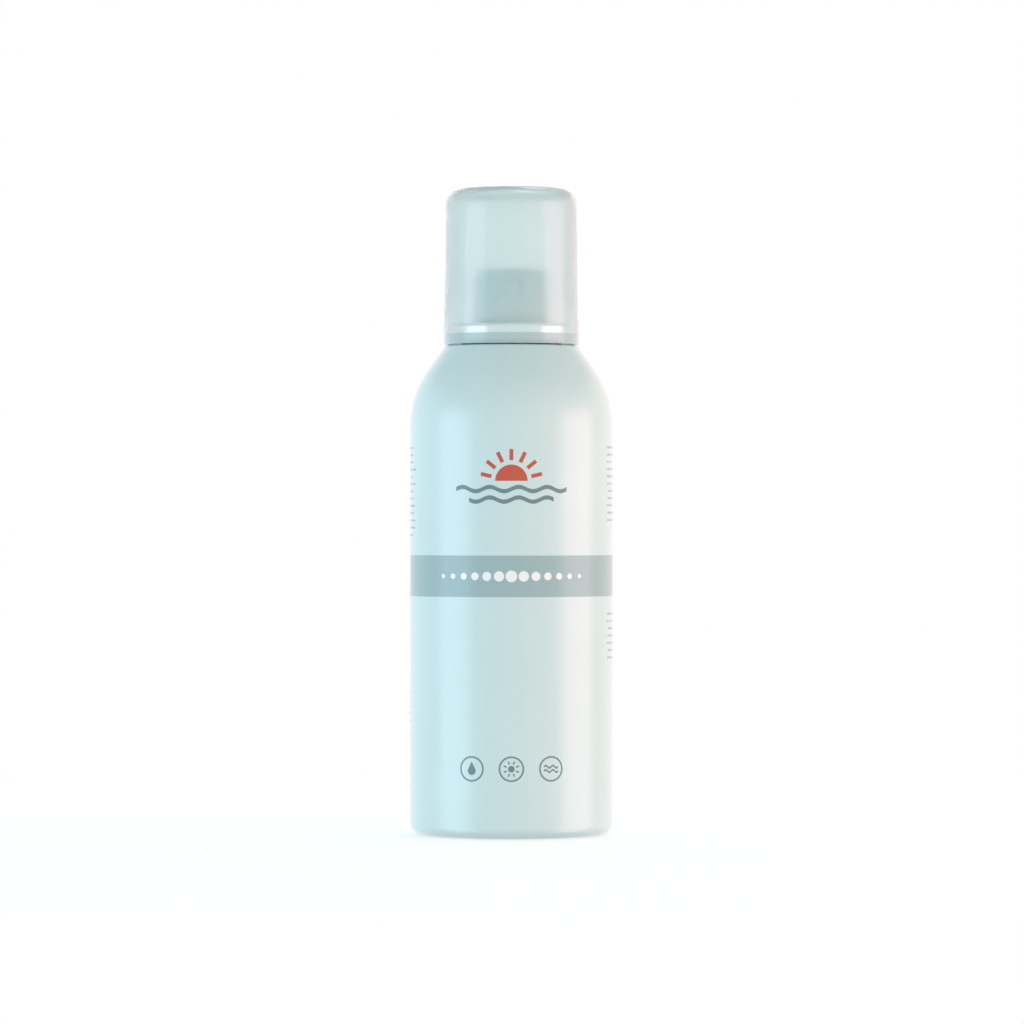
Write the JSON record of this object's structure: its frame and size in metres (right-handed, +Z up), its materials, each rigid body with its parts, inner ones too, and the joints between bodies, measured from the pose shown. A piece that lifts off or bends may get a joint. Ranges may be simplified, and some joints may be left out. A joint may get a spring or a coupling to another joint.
{
  "type": "sunscreen spray can",
  "caption": "Pressurised sunscreen can with a rounded shoulder, a frosted pull-off overcap and a press-down spray button on a spring-loaded valve.",
  "frame": {"origin": "centre of the ring that the can stands on", "axes": "+Z up along the can's axis, -Y the way the spray leaves and the printed front faces"},
  "size_m": [0.053, 0.053, 0.1693],
  "materials": {
    "lacquered_aluminium": "satin",
    "tinplate": "polished",
    "spring_steel": "satin",
    "black_rubber": "matte",
    "natural_plastic": "satin",
    "button_plastic": "satin",
    "frosted_plastic": "satin"
  },
  "bodies": {
    "can": {"can_body": "lacquered_aluminium", "mounting_cup": "tinplate", "cup_gasket": "black_rubber", "stem_gasket": "black_rubber", "valve_housing": "natural_plastic", "valve_spring": "spring_steel", "dip_tube": "natural_plastic"},
    "valve_stem": {"valve_stem": "natural_plastic"},
    "spray_button": {"spray_button": "button_plastic", "nozzle_insert": "button_plastic"},
    "overcap": {"overcap": "frosted_plastic"}
  },
  "joints": [
    {"name": "stem_press", "type": "slide", "parent": "can", "child": "valve_stem", "axis": [0, 0, -1], "range_m": [0, 0.0015], "stiffness_N_per_m": 3000, "springref_m": -0.003, "deforming": ["valve_spring"]},
    {"name": "button_turn", "type": "hinge", "parent": "valve_stem", "child": "spray_button", "pos_m": [0, 0, 0.1379], "axis": [0, 0, 1], "continuous": true},
    {"name": "overcap_lift", "type": "slide", "parent": "can", "child": "overcap", "axis": [0, 0, 1], "range_m": [0, 0.06]}
  ]
}
